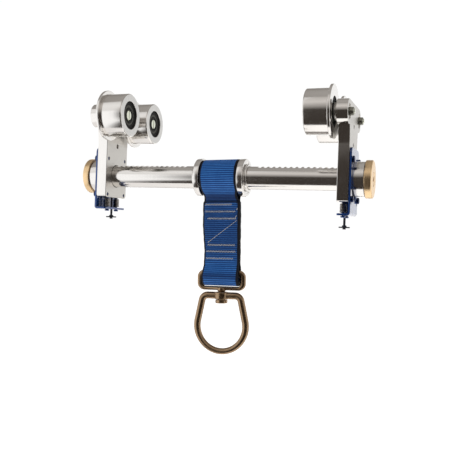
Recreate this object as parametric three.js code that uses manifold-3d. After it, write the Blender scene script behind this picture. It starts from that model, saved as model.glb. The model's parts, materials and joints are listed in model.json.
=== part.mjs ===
// Adjustable beam trolley anchor: a notched bar carries two sliding wheel carriages,
// and a webbing sling with a swivel ring hangs from a spool at the middle of the bar.
// Millimetres, +X along the bar, +Y across it, +Z up. The origin is midway between the
// carriages, at the height where the wheel treads rest on the flange of a beam.
import * as THREE from 'three';
import { mergeVertices } from 'three/addons/utils/BufferGeometryUtils.js';
import Module from 'manifold-3d';

const wasm = await Module();
wasm.setup();

// Driving dimensions. Heights in the comments below are above the bar axis.
const GAP = 0.3;                  // clearance between pieces that touch
const BAR_RADIUS = 12.7;
const NOTCH_PITCH = 6.35;
const NOTCH_DEPTH = 2;
const NOTCH_COUNT = 17;           // on each half of the bar
const BRACKET_INNER = 132.3;      // from mid-span to the inner face of a bracket
const BRACKET_THICKNESS = 12;
const BRACKET_HALF_WIDTH = 25;
const BRACKET_BOTTOM = -25.5;
const WHEEL_SPACING = 65.4;
const WHEEL_AXIS_HEIGHT = 66;
const TREAD_RADIUS = 24;
const FLANGE_RADIUS = 28;
const FLANGE_THICKNESS = 3;
const WHEEL_LENGTH = 28.7;
const WHEEL_STANDOFF = 3.2;       // between bracket and wheel flange
const BEARING_RADIUS = 15.4;
const AXLE_RADIUS = 5.7;
const STUD_RADIUS = 2.5;
const NUT_RADIUS = 4.6;           // to its corners
const BEARING_INSET = 1.5;        // of the bearing from the inner face of its wheel
const AXLE_INSET = 1.8;
const BUSH_RADIUS = 18.5;
const CAP_RADIUS = 20.1;
const CAP_THICKNESS = 7.7;
const PLATE_THICKNESS = 2.2;
const PLATE_TOP = 31.5;
const PLATE_HALF_WIDTH = 24;
const LIP_BOTTOM = -39;           // underside of the latch plate's lip
const LATCH_LIFT = 4;
const GUIDE_SCREW_Y = 19.8;
const GUIDE_SCREW_HEIGHTS = [19.2, -21.9];
const GUIDE_PIN_Y = 11;
const GUIDE_PIN_RADIUS = 1.6;
const PLUNGER_RADIUS = 1.3;
const PLUNGER_KNOB_RADIUS = 6.05;
const PLUNGER_KNOB_HEIGHT = -51;
const LEFT_PLUNGER_PRESSED_IN = 3.2;
const SLEEVE_RADIUS = 14.6;
const SPOOL_FLANGE_RADIUS = 21;
const SPOOL_FLANGE_INNER = 22;
const SPOOL_FLANGE_THICKNESS = 6.6;
const STRAP_WIDTH = 42.2;
const STRAP_LOOP_RADIUS = 20.3;
const STRAP_HALF_THICKNESS = 4;
const STRAP_BOTTOM = -119.8;
const SLING_LEAN = 1.6;           // degrees out of square, as the soft sling hangs
const EYE_WIDTH = 56.2;
const EYE_TOP = -103;
const EYE_BOTTOM = -125.5;
const EYE_ROD = 6;
const EYE_FOOT = 4.4;
const COLLAR_TOP = -127.3;
const COLLAR_BOTTOM = -135.5;
const COLLAR_RADIUS = 7.7;
const STEM_RADIUS = 3.9;
const RING_ROD_RADIUS = 3.95;
const RING_BOW_RADIUS = 28.4;
const RING_BOW_HEIGHT = -165;
const RING_SIDE_SLOPE = 12.2;     // degrees

// Worked out from them
const BRACKET_OUTER = BRACKET_INNER + BRACKET_THICKNESS;
const PLATE_INNER = BRACKET_OUTER + GAP;
const PLATE_OUTER = PLATE_INNER + PLATE_THICKNESS;
const PLATE_MIDDLE = (PLATE_INNER + PLATE_OUTER) / 2;
const BUSH_END = BRACKET_OUTER + 14.1;
const CAP_INNER = BUSH_END + GAP;
const CAP_OUTER = CAP_INNER + CAP_THICKNESS;
const WHEEL_OUTER_FACE = BRACKET_INNER - WHEEL_STANDOFF;
const WHEEL_INNER_FACE = WHEEL_OUTER_FACE - WHEEL_LENGTH;
const AXLE_Y = WHEEL_SPACING / 2;
const PIN_X = BRACKET_INNER + 5.2;          // latch pins and plunger, inside the bracket
const LIP_TOP = LIP_BOTTOM + PLATE_THICKNESS;
const TREAD_BOTTOM = WHEEL_AXIS_HEIGHT - TREAD_RADIUS;
const EYE_ROD_HEIGHT = EYE_TOP - EYE_ROD / 2;
const RAD = Math.PI / 180;

// Finishes
const finish = (color, roughness, metalness) => ({ color, roughness, metalness });
const POLISHED = finish(0xc9c8c4, 0.18, 1);
const SATIN = finish(0xbdbbb6, 0.35, 1);
const GOLD = finish(0xc79a5b, 0.28, 1);
const BRONZE = finish(0x8a7558, 0.38, 1);
const ZINC = finish(0xc9cbb4, 0.3, 1);
const DARK_STEEL = finish(0x2b2b2c, 0.4, 1);
const SEAL = finish(0x141414, 0.6, 0);
const LATCH_BLUE = finish(0x1b3a8c, 0.25, 0.6);
const WEBBING = finish(0x2459a8, 0.85, 0);

// Axes of a flat outline or a turned profile, as (right, up, out)
const X = new THREE.Vector3(1, 0, 0);
const Y = new THREE.Vector3(0, 1, 0);
const Z = new THREE.Vector3(0, 0, 1);
const OUTLINE_ACROSS_X = new THREE.Matrix4().makeBasis(Y, Z, X);
const OUTLINE_ACROSS_Y = new THREE.Matrix4().makeBasis(X, Z, Y.clone().negate());
const TURNED_ABOUT_X = new THREE.Matrix4().makeBasis(Y, X, Z.clone().negate());
const TURNED_ABOUT_Z = new THREE.Matrix4().makeBasis(X, Z, Y.clone().negate());

function mesh(name, geometry, look) {
  const piece = new THREE.Mesh(geometry, new THREE.MeshStandardMaterial(look));
  piece.name = name;
  return piece;
}

function solid(geometry) {
  const bare = geometry.clone();
  bare.deleteAttribute('normal');
  bare.deleteAttribute('uv');
  const merged = mergeVertices(bare, 1e-4);
  return new wasm.Manifold(new wasm.Mesh({
    numProp: 3,
    vertProperties: new Float32Array(merged.attributes.position.array),
    triVerts: new Uint32Array(merged.index.array),
  }));
}

function geometryOf(manifold) {
  const got = manifold.getMesh();
  const geometry = new THREE.BufferGeometry();
  const positions = new Float32Array(got.vertProperties);
  geometry.setAttribute('position', new THREE.BufferAttribute(positions, 3));
  geometry.setIndex(new THREE.BufferAttribute(new Uint32Array(got.triVerts), 1));
  geometry.computeVertexNormals();
  return geometry;
}

function cut(body, ...tools) {
  return geometryOf(tools.reduce((left, tool) => left.subtract(solid(tool)), solid(body)));
}

function join(body, ...others) {
  return geometryOf(others.reduce((whole, other) => whole.add(solid(other)), solid(body)));
}

// A turned piece: profile is a closed list of [radius, place along the axis]
function turned(profile, axis, segments = 24) {
  const points = [...profile, profile[0]].map(([radius, along]) => new THREE.Vector2(radius, along));
  return new THREE.LatheGeometry(points, segments).applyMatrix4(axis);
}

function tube(inner, outer, from, to, axis, segments = 24) {
  return turned([[inner, from], [outer, from], [outer, to], [inner, to]], axis, segments);
}

// A plain round rod, its profile starting and ending on the axis
function rod(radius, from, to, axis, segments = 16) {
  const points = [[0, from], [radius, from], [radius, to], [0, to]];
  const profile = points.map(([r, along]) => new THREE.Vector2(r, along));
  return new THREE.LatheGeometry(profile, segments).applyMatrix4(axis);
}

function steppedRod(steps, axis, segments = 16) {
  const profile = steps.map(([r, along]) => new THREE.Vector2(r, along));
  return new THREE.LatheGeometry(profile, segments).applyMatrix4(axis);
}

function extrudedAlongX(shape, from, to, curveSegments = 6) {
  const options = { depth: to - from, bevelEnabled: false, curveSegments };
  const geometry = new THREE.ExtrudeGeometry(shape, options);
  return geometry.applyMatrix4(OUTLINE_ACROSS_X).translate(from, 0, 0);
}

function extrudedAcrossY(shape, depth, curveSegments = 6) {
  const geometry = new THREE.ExtrudeGeometry(shape, { depth, bevelEnabled: false, curveSegments });
  return geometry.applyMatrix4(OUTLINE_ACROSS_Y).translate(0, depth / 2, 0);
}

function roundedRect(x0, y0, x1, y1, radius) {
  const shape = new THREE.Shape();
  shape.absarc(x1 - radius, y1 - radius, radius, 0, Math.PI / 2);
  shape.absarc(x0 + radius, y1 - radius, radius, Math.PI / 2, Math.PI);
  shape.absarc(x0 + radius, y0 + radius, radius, Math.PI, 1.5 * Math.PI);
  shape.absarc(x1 - radius, y0 + radius, radius, 1.5 * Math.PI, 2 * Math.PI);
  return shape;
}

// A slot with round ends, standing upright in an outline
function uprightSlot(y, low, high, radius) {
  const slot = new THREE.Path();
  slot.absarc(y, high, radius, 0, Math.PI);
  slot.absarc(y, low, radius, Math.PI, 2 * Math.PI);
  return slot;
}

// ---- Bar, end caps and spool ----

function barGeometry() {
  const half = BUSH_END - GAP / 2;
  const body = rod(BAR_RADIUS, -half, half, TURNED_ABOUT_X, 30);
  const cuts = [];
  const corners = [[-1.4, 0], [1.4, 0], [2.6, 3], [-2.6, 3]];
  const outline = new THREE.Shape(corners.map((corner) => new THREE.Vector2(...corner)));
  for (const side of [-1, 1]) {
    for (let i = 0; i < NOTCH_COUNT; i += 1) {
      const place = side * (PLATE_MIDDLE - i * NOTCH_PITCH);
      const notch = extrudedAcrossY(outline, 2 * BAR_RADIUS);
      cuts.push(notch.translate(place, 0, BAR_RADIUS - NOTCH_DEPTH));
    }
    const screwHole = rod(4.3, half - 20, half + 1, TURNED_ABOUT_X, 16);
    cuts.push(side > 0 ? screwHole : screwHole.rotateZ(Math.PI));
  }
  return cut(body, ...cuts);
}

function capGeometry() {
  const r = CAP_RADIUS;
  const profile = [
    [4.3, CAP_INNER], [r - 0.8, CAP_INNER], [r, CAP_INNER + 0.8], [r, CAP_OUTER - 1.6],
    [r - 1.4, CAP_OUTER], [7.5, CAP_OUTER], [7.5, CAP_OUTER - 3.6],
    [4.3, CAP_OUTER - 3.6],
  ];
  return turned(profile, TURNED_ABOUT_X);
}

function capScrewGeometry() {
  const headBase = CAP_OUTER - 3.3;
  const steps = [[0, BUSH_END - 18], [4, BUSH_END - 18], [4, headBase], [7.1, headBase],
    [7.1, CAP_OUTER - 0.8], [6.6, CAP_OUTER - 0.3], [0, CAP_OUTER - 0.3]];
  const socket = rod(3, CAP_OUTER - 2.4, CAP_OUTER + 1, TURNED_ABOUT_X, 6);
  return cut(steppedRod(steps, TURNED_ABOUT_X), socket);
}

function spoolFlangeGeometry() {
  const inner = SLEEVE_RADIUS + GAP;
  const from = SPOOL_FLANGE_INNER;
  const to = from + SPOOL_FLANGE_THICKNESS;
  const r = SPOOL_FLANGE_RADIUS;
  const profile = [[inner, from], [r - 0.5, from], [r, from + 0.5],
    [r, to - 1.2], [r - 1.2, to], [inner, to]];
  return turned(profile, TURNED_ABOUT_X);
}

function retainingCollarGeometry() {
  const from = SPOOL_FLANGE_INNER + SPOOL_FLANGE_THICKNESS + 2 * GAP;
  return tube(BAR_RADIUS + GAP, 15.2, from, from + 2.2, TURNED_ABOUT_X, 24);
}

// ---- Sling: strap, swivel eye and ring, drawn hanging straight down ----

function strapGeometry() {
  const shape = new THREE.Shape();
  const neck = -29;
  const tangent = 38 * RAD;             // where the plies leave the spool
  const footRadius = 9.3;
  const footCentre = STRAP_BOTTOM + footRadius;
  const footTangent = 66 * RAD;
  shape.absarc(0, 0, STRAP_LOOP_RADIUS, -tangent, Math.PI + tangent);
  shape.lineTo(-STRAP_HALF_THICKNESS, neck);
  shape.lineTo(-STRAP_HALF_THICKNESS, footCentre + 14);
  const overHalf = Math.PI / 2 - footTangent;
  shape.absarc(0, footCentre, footRadius, Math.PI - overHalf, 2 * Math.PI + overHalf);
  shape.lineTo(STRAP_HALF_THICKNESS, footCentre + 14);
  shape.lineTo(STRAP_HALF_THICKNESS, neck);
  shape.holes.push(new THREE.Path().absarc(0, 0, SLEEVE_RADIUS + 1, 0, 2 * Math.PI));
  shape.holes.push(new THREE.Path().absarc(0, EYE_ROD_HEIGHT, EYE_ROD / 2 + 1.3, 0, 2 * Math.PI));
  return extrudedAlongX(shape, -STRAP_WIDTH / 2, STRAP_WIDTH / 2, 12);
}

function swivelEyeGeometry() {
  const half = EYE_WIDTH / 2;
  const bevel = 1.4;
  const rounding = { bevelThickness: bevel, bevelSize: bevel, bevelOffset: -bevel, bevelSegments: 2 };
  const loop = roundedRect(-half, EYE_BOTTOM, half, EYE_TOP, 8);
  const inside = half - EYE_ROD;
  loop.holes.push(roundedRect(-inside, EYE_BOTTOM + EYE_FOOT, inside, EYE_TOP - EYE_ROD, 2.5));
  const depth = EYE_ROD - 2 * bevel;
  const frame = new THREE.ExtrudeGeometry(loop, { depth, curveSegments: 3, ...rounding })
    .applyMatrix4(OUTLINE_ACROSS_Y).translate(0, depth / 2, 0);
  const top = EYE_BOTTOM + EYE_FOOT - 0.8;
  const steps = [[0, top], [4.6, top], [4.9, EYE_BOTTOM], [STEM_RADIUS, COLLAR_TOP + GAP],
    [STEM_RADIUS, COLLAR_BOTTOM - 4.4], [0, COLLAR_BOTTOM - 4.4]];
  const stem = steppedRod([...steps].reverse(), TURNED_ABOUT_Z, 20);
  return join(frame, stem);
}

function swivelHeadGeometry() {
  const top = COLLAR_BOTTOM - 2 * GAP;
  return tube(STEM_RADIUS + GAP, 6.8, top - 3.8, top, TURNED_ABOUT_Z, 20);
}

// Bow of the ring from one side of its collar round to the other
class BowCurve extends THREE.Curve {
  constructor() {
    super();
    const slope = RING_SIDE_SLOPE * RAD;
    const barHeight = (COLLAR_TOP + COLLAR_BOTTOM) / 2;
    const cornerRadius = 7;
    const sideX = RING_BOW_RADIUS * Math.cos(slope);
    const sideZ = RING_BOW_HEIGHT + RING_BOW_RADIUS * Math.sin(slope);
    const cornerX = sideX - (barHeight - sideZ) * Math.tan(slope);
    const cornerCentreX = cornerX - cornerRadius / Math.tan((Math.PI / 2 + slope) / 2);
    const cornerCentreZ = barHeight - cornerRadius;
    this.path = new THREE.Path();
    this.path.moveTo(4.5, barHeight);
    this.path.lineTo(cornerCentreX, barHeight);
    this.path.absarc(cornerCentreX, cornerCentreZ, cornerRadius, Math.PI / 2, slope, true);
    this.path.absarc(0, RING_BOW_HEIGHT, RING_BOW_RADIUS, slope, -Math.PI - slope, true);
    this.path.absarc(-cornerCentreX, cornerCentreZ, cornerRadius, Math.PI - slope, Math.PI / 2, true);
    this.path.lineTo(-4.5, barHeight);
  }

  getPoint(t, target = new THREE.Vector3()) {
    const p = this.path.getPoint(t);
    return target.set(p.x, 0, p.y);
  }
}

function swivelRingGeometry() {
  const section = new THREE.Shape().absarc(0, 0, RING_ROD_RADIUS, 0, 2 * Math.PI);
  const along = { extrudePath: new BowCurve(), steps: 56, curveSegments: 4 };
  const bow = new THREE.ExtrudeGeometry(section, along);
  const r = COLLAR_RADIUS;
  const profile = [[0, COLLAR_BOTTOM], [r - 0.8, COLLAR_BOTTOM], [r, COLLAR_BOTTOM + 0.8],
    [r, COLLAR_TOP - 0.8], [r - 0.8, COLLAR_TOP], [0, COLLAR_TOP]];
  const collar = steppedRod(profile, TURNED_ABOUT_Z, 20);
  const bore = rod(STEM_RADIUS + GAP, COLLAR_BOTTOM - 1, COLLAR_TOP + 1, TURNED_ABOUT_Z, 16);
  return geometryOf(solid(bow).add(solid(collar)).subtract(solid(bore)));
}

// ---- Carriage, drawn for the +X end; the other end is the same turned half round ----

function bracketOutline() {
  const shape = new THREE.Shape();
  const w = BRACKET_HALF_WIDTH;
  const neck = w + 3;                   // half width where the stem meets the axle lobes
  const lobe = 13;
  const foot = 4;
  const meet = Math.acos((AXLE_Y - neck) / lobe);
  const neckHeight = WHEEL_AXIS_HEIGHT - lobe * Math.sin(meet);
  shape.absarc(w - foot, BRACKET_BOTTOM + foot, foot, -Math.PI / 2, 0);
  shape.lineTo(w, 34);
  shape.lineTo(neck, neckHeight);
  shape.absarc(AXLE_Y, WHEEL_AXIS_HEIGHT, lobe, Math.PI + meet, 2.5 * Math.PI);
  shape.absarc(-AXLE_Y, WHEEL_AXIS_HEIGHT, lobe, Math.PI / 2, 2 * Math.PI - meet);
  shape.lineTo(-w, 34);
  shape.absarc(-w + foot, BRACKET_BOTTOM + foot, foot, Math.PI, 1.5 * Math.PI);
  return shape;
}

function bracketGeometry() {
  const outline = bracketOutline();
  const hole = (y, z, radius) => {
    outline.holes.push(new THREE.Path().absarc(y, z, radius, 0, 2 * Math.PI));
  };
  for (const side of [-1, 1]) {
    hole(side * AXLE_Y, WHEEL_AXIS_HEIGHT, STUD_RADIUS + GAP);
    for (const height of GUIDE_SCREW_HEIGHTS) hole(side * GUIDE_SCREW_Y, height, 1.9);
  }
  for (const height of [35, 55]) hole(0, height, 2.4);
  const body = extrudedAlongX(outline, BRACKET_INNER, BRACKET_OUTER, 4);
  const cuts = [
    rod(BAR_RADIUS + GAP, BRACKET_INNER - 1, BRACKET_OUTER + 1, TURNED_ABOUT_X, 24),
    rod(15.8, BRACKET_OUTER - 6, BRACKET_OUTER + 1, TURNED_ABOUT_X, 24),
    rod(1.7, BRACKET_BOTTOM - 1, -15.8, TURNED_ABOUT_Z, 10).translate(PIN_X, 0, 0),
  ];
  for (const side of [-1, 1]) {
    const pocket = rod(GUIDE_PIN_RADIUS + 0.4, BRACKET_BOTTOM - 1, -17.5, TURNED_ABOUT_Z, 10);
    cuts.push(pocket.translate(PIN_X, side * GUIDE_PIN_Y, 0));
    const nutSeat = rod(8, BRACKET_OUTER - 1, BRACKET_OUTER + 1, TURNED_ABOUT_X, 14);
    cuts.push(nutSeat.translate(0, side * AXLE_Y, WHEEL_AXIS_HEIGHT));
  }
  return cut(body, ...cuts);
}

function bushGeometry() {
  const bore = BAR_RADIUS + GAP;
  const shoulder = BRACKET_OUTER + GAP;
  const spigot = BRACKET_OUTER - 6 + GAP;
  const r = BUSH_RADIUS;
  const body = turned([[bore, spigot], [15.5, spigot], [15.5, shoulder], [r, shoulder],
    [r, BUSH_END - 0.8], [r - 0.8, BUSH_END], [bore, BUSH_END]], TURNED_ABOUT_X);
  const slot = new THREE.BoxGeometry(PLATE_THICKNESS + 2 * GAP, 16, BUSH_RADIUS);
  return cut(body, slot.translate(PLATE_MIDDLE, 0, BAR_RADIUS - 0.2 + BUSH_RADIUS / 2));
}

function latchPlateGeometry() {
  const bend = 3.2;
  const lipEnd = BRACKET_INNER + 0.4;
  const profile = new THREE.Shape();
  profile.moveTo(PLATE_OUTER, PLATE_TOP);
  profile.lineTo(PLATE_INNER, PLATE_TOP);
  profile.absarc(PLATE_OUTER - bend, LIP_BOTTOM + bend, bend - PLATE_THICKNESS, 0, -Math.PI / 2, true);
  profile.lineTo(lipEnd, LIP_TOP);
  profile.lineTo(lipEnd, LIP_BOTTOM);
  profile.absarc(PLATE_OUTER - bend, LIP_BOTTOM + bend, bend, -Math.PI / 2, 0);
  const folded = extrudedAcrossY(profile, 2 * PLATE_HALF_WIDTH, 3);
  const outline = roundedRect(-PLATE_HALF_WIDTH, LIP_BOTTOM - 9, PLATE_HALF_WIDTH, PLATE_TOP, 6);
  const window = BUSH_RADIUS + 0.6;
  const tongue = 7.5;
  const rise = Math.asin(tongue / window);
  const opening = new THREE.Path();
  opening.absarc(0, 0, window, Math.PI / 2 + rise, Math.PI);
  opening.absarc(0, -LATCH_LIFT, window, Math.PI, 2 * Math.PI);
  opening.absarc(0, 0, window, 0, Math.PI / 2 - rise);
  opening.lineTo(tongue, BAR_RADIUS + GAP);
  opening.lineTo(-tongue, BAR_RADIUS + GAP);
  outline.holes.push(opening);
  for (const side of [-1, 1]) {
    for (const height of GUIDE_SCREW_HEIGHTS) {
      outline.holes.push(uprightSlot(side * GUIDE_SCREW_Y, height - LATCH_LIFT, height, 1.9));
    }
  }
  const silhouette = extrudedAlongX(outline, lipEnd - 5, PLATE_OUTER + 5, 4);
  const holes = [-GUIDE_PIN_Y, 0, GUIDE_PIN_Y].map((y) => {
    const radius = (y === 0 ? PLUNGER_RADIUS : GUIDE_PIN_RADIUS) + GAP;
    return solid(rod(radius, LIP_BOTTOM - 1, LIP_TOP + 1, TURNED_ABOUT_Z, 10).translate(PIN_X, y, 0));
  });
  const plate = solid(folded).intersect(solid(silhouette));
  return geometryOf(holes.reduce((left, hole) => left.subtract(hole), plate));
}

function guidePinGeometry() {
  const headTop = LIP_BOTTOM - GAP;
  const steps = [[0, headTop - 1.8], [1.8, headTop - 1.8], [2.7, headTop - 0.8], [2.7, headTop],
    [GUIDE_PIN_RADIUS, headTop], [GUIDE_PIN_RADIUS, -22.5], [0, -22.5]];
  return steppedRod(steps, TURNED_ABOUT_Z, 10);
}

class SpringCurve extends THREE.Curve {
  getPoint(t, target = new THREE.Vector3()) {
    const turns = 6;
    const wire = 0.7;
    const low = LIP_TOP + GAP + wire;
    const high = BRACKET_BOTTOM - GAP - wire;
    const angle = 2 * Math.PI * turns * t;
    return target.set(3 * Math.cos(angle), 3 * Math.sin(angle), low + (high - low) * t);
  }
}

function springGeometry() {
  const section = new THREE.Shape().absarc(0, 0, 0.7, 0, 2 * Math.PI);
  const along = { extrudePath: new SpringCurve(), steps: 36, curveSegments: 2 };
  return new THREE.ExtrudeGeometry(section, along);
}

function plungerPinGeometry() {
  const knob = PLUNGER_KNOB_HEIGHT;
  const steps = [[0, knob - 2.2], [1.9, knob - 2.2], [1.9, knob - 1], [PLUNGER_RADIUS, knob - 1],
    [PLUNGER_RADIUS, -23.5], [0, -23.5]];
  return steppedRod(steps, TURNED_ABOUT_Z, 10);
}

function plungerKnobGeometry() {
  const knob = PLUNGER_KNOB_HEIGHT;
  const r = PLUNGER_KNOB_RADIUS;
  const bore = PLUNGER_RADIUS + GAP;
  return turned([[bore, knob - 0.7], [r - 0.4, knob - 0.7], [r, knob], [r - 0.4, knob + 0.7],
    [2.6, knob + 0.7], [2.3, knob + 2.2], [bore, knob + 2.2]], TURNED_ABOUT_Z, 18);
}

function guideScrewGeometry() {
  const seat = PLATE_OUTER + GAP;
  const steps = [[0, BRACKET_INNER + 0.5], [1.6, BRACKET_INNER + 0.5], [1.6, seat], [3.4, seat],
    [3.4, seat + 1.8], [2.9, seat + 2.3], [0, seat + 2.3]];
  return steppedRod(steps, TURNED_ABOUT_X, 8);
}

function wheelGeometry() {
  const bore = BEARING_RADIUS + GAP;
  const flangeFrom = WHEEL_OUTER_FACE - FLANGE_THICKNESS;
  const profile = [
    [bore, WHEEL_INNER_FACE], [TREAD_RADIUS - 1.6, WHEEL_INNER_FACE],
    [TREAD_RADIUS, WHEEL_INNER_FACE + 1.4],
    [TREAD_RADIUS, flangeFrom - 1], [TREAD_RADIUS + 0.9, flangeFrom], [FLANGE_RADIUS - 0.5, flangeFrom],
    [FLANGE_RADIUS, flangeFrom + 0.6], [FLANGE_RADIUS, WHEEL_OUTER_FACE - 0.6],
    [FLANGE_RADIUS - 0.6, WHEEL_OUTER_FACE], [bore, WHEEL_OUTER_FACE],
  ];
  return turned(profile, TURNED_ABOUT_X, 30);
}

function bearingGeometry() {
  const from = WHEEL_INNER_FACE + BEARING_INSET;
  const to = WHEEL_OUTER_FACE - 0.6;
  return tube(AXLE_RADIUS + GAP, BEARING_RADIUS, from, to, TURNED_ABOUT_X, 20);
}

function axleGeometry() {
  const end = WHEEL_INNER_FACE + AXLE_INSET;
  const shoulder = BRACKET_INNER - GAP;
  const tip = BRACKET_OUTER + 5.5;
  const steps = [[0, end], [AXLE_RADIUS - 0.8, end], [AXLE_RADIUS, end + 0.8], [AXLE_RADIUS, shoulder],
    [STUD_RADIUS, shoulder], [STUD_RADIUS, tip - 0.6], [STUD_RADIUS - 0.6, tip], [0, tip]];
  const slot = new THREE.BoxGeometry(2.2, 1.4, 3 * AXLE_RADIUS).translate(end, 0, 0);
  return cut(steppedRod(steps, TURNED_ABOUT_X, 16), slot);
}

function spacerGeometry() {
  const to = BRACKET_INNER - GAP;
  return tube(AXLE_RADIUS + GAP, 9, WHEEL_OUTER_FACE - GAP, to, TURNED_ABOUT_X, 16);
}

function nutGeometry() {
  const seat = BRACKET_OUTER - 1 + GAP;
  const body = rod(NUT_RADIUS, seat, seat + 5.2, TURNED_ABOUT_X, 6);
  return cut(body, rod(STUD_RADIUS + GAP, seat - 1, seat + 6, TURNED_ABOUT_X, 12));
}

const shared = {
  cap: capGeometry(),
  capScrew: capScrewGeometry(),
  spoolFlange: spoolFlangeGeometry(),
  collar: retainingCollarGeometry(),
  bracket: bracketGeometry(),
  bush: bushGeometry(),
  latchPlate: latchPlateGeometry(),
  guidePin: guidePinGeometry(),
  spring: springGeometry(),
  plungerPin: plungerPinGeometry(),
  plungerKnob: plungerKnobGeometry(),
  guideScrew: guideScrewGeometry(),
  wheel: wheelGeometry(),
  bearing: bearingGeometry(),
  axle: axleGeometry(),
  spacer: spacerGeometry(),
  nut: nutGeometry(),
};

// Front is -Y on the finished anchor, whichever end the carriage is on
function carriage(side) {
  const group = new THREE.Group();
  const turn = side === 'right' ? 1 : -1;
  group.rotation.z = turn > 0 ? 0 : Math.PI;
  group.add(mesh(`bracket_${side}`, shared.bracket, SATIN));
  group.add(mesh(`guide_bush_${side}`, shared.bush, POLISHED));
  group.add(mesh(`latch_plate_${side}`, shared.latchPlate, LATCH_BLUE));
  const pressed = side === 'left' ? LEFT_PLUNGER_PRESSED_IN : 0;
  const plunger = [mesh(`plunger_pin_${side}`, shared.plungerPin, DARK_STEEL),
    mesh(`plunger_knob_${side}`, shared.plungerKnob, DARK_STEEL)];
  for (const piece of plunger) {
    piece.position.set(PIN_X, 0, pressed);
    group.add(piece);
  }
  for (const [end, across] of [['front', -turn], ['rear', turn]]) {
    for (const [name, geometry, look] of [['wheel', shared.wheel, POLISHED],
      ['bearing', shared.bearing, SEAL], ['axle', shared.axle, ZINC],
      ['spacer', shared.spacer, SATIN], ['axle_nut', shared.nut, DARK_STEEL]]) {
      const piece = mesh(`${name}_${side}_${end}`, geometry, look);
      piece.position.set(0, across * AXLE_Y, WHEEL_AXIS_HEIGHT);
      group.add(piece);
    }
    for (const [name, geometry, look] of [['guide_pin', shared.guidePin, LATCH_BLUE],
      ['latch_spring', shared.spring, DARK_STEEL]]) {
      const piece = mesh(`${name}_${side}_${end}`, geometry, look);
      piece.position.set(PIN_X, across * GUIDE_PIN_Y, 0);
      group.add(piece);
    }
    GUIDE_SCREW_HEIGHTS.forEach((height, i) => {
      const name = `guide_screw_${side}_${end}_${['upper', 'lower'][i]}`;
      const piece = mesh(name, shared.guideScrew, DARK_STEEL);
      piece.position.set(0, across * GUIDE_SCREW_Y, height);
      group.add(piece);
    });
  }
  return group;
}

function barAndCaps() {
  const group = new THREE.Group();
  group.add(mesh('bar', barGeometry(), POLISHED));
  for (const [side, turn] of [['left', Math.PI], ['right', 0]]) {
    for (const [name, geometry, look] of [['end_cap', shared.cap, GOLD],
      ['cap_screw', shared.capScrew, GOLD], ['retaining_collar', shared.collar, POLISHED],
      ['spool_flange', shared.spoolFlange, POLISHED]]) {
      const piece = mesh(`${name}_${side}`, geometry, look);
      piece.rotation.z = turn;
      group.add(piece);
    }
  }
  const half = SPOOL_FLANGE_INNER + SPOOL_FLANGE_THICKNESS + GAP;
  const sleeve = tube(BAR_RADIUS + GAP, SLEEVE_RADIUS, -half, half, TURNED_ABOUT_X);
  group.add(mesh('spool_sleeve', sleeve, POLISHED));
  return group;
}

function sling() {
  const group = new THREE.Group();
  group.rotation.y = -SLING_LEAN * RAD;
  group.add(mesh('strap', strapGeometry(), WEBBING));
  group.add(mesh('swivel_eye', swivelEyeGeometry(), BRONZE));
  group.add(mesh('swivel_head', swivelHeadGeometry(), BRONZE));
  group.add(mesh('swivel_ring', swivelRingGeometry(), BRONZE));
  return group;
}

const anchor = new THREE.Group();
anchor.position.z = -TREAD_BOTTOM;
anchor.add(barAndCaps(), sling(), carriage('left'), carriage('right'));

export default anchor;
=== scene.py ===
"""Adjustable beam trolley anchor: finished surfaces, materials, light and camera.

Shapes are worked out in millimetres from the middle of the bar, for the right carriage or for the
sling hanging straight down, and then placed in the row frame in metres.
"""
import json
import math

import bmesh
import bpy
from mathutils import Matrix, Vector


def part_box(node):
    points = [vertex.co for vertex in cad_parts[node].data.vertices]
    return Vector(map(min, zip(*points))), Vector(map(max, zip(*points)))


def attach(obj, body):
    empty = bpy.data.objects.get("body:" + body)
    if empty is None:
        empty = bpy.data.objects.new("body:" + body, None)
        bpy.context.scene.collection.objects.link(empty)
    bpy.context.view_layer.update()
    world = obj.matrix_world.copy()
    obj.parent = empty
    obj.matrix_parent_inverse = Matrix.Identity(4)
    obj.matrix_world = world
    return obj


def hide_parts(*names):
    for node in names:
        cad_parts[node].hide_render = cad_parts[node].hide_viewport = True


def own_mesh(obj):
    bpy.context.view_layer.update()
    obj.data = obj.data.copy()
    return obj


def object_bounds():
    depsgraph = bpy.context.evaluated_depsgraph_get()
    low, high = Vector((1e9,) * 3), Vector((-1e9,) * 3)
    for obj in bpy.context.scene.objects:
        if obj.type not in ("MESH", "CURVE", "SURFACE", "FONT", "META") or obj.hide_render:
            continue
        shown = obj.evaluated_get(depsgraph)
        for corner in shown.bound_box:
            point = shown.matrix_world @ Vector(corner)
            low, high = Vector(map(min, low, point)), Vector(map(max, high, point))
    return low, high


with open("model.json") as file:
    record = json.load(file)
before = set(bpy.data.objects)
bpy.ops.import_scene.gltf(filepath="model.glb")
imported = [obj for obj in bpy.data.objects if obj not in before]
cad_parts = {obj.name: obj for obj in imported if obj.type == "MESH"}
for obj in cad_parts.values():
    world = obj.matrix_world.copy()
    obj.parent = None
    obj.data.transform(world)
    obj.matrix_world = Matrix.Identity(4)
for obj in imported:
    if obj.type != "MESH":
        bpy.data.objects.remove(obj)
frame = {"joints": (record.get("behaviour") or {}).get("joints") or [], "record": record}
cad_box = [list(corner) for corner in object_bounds()]

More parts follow.
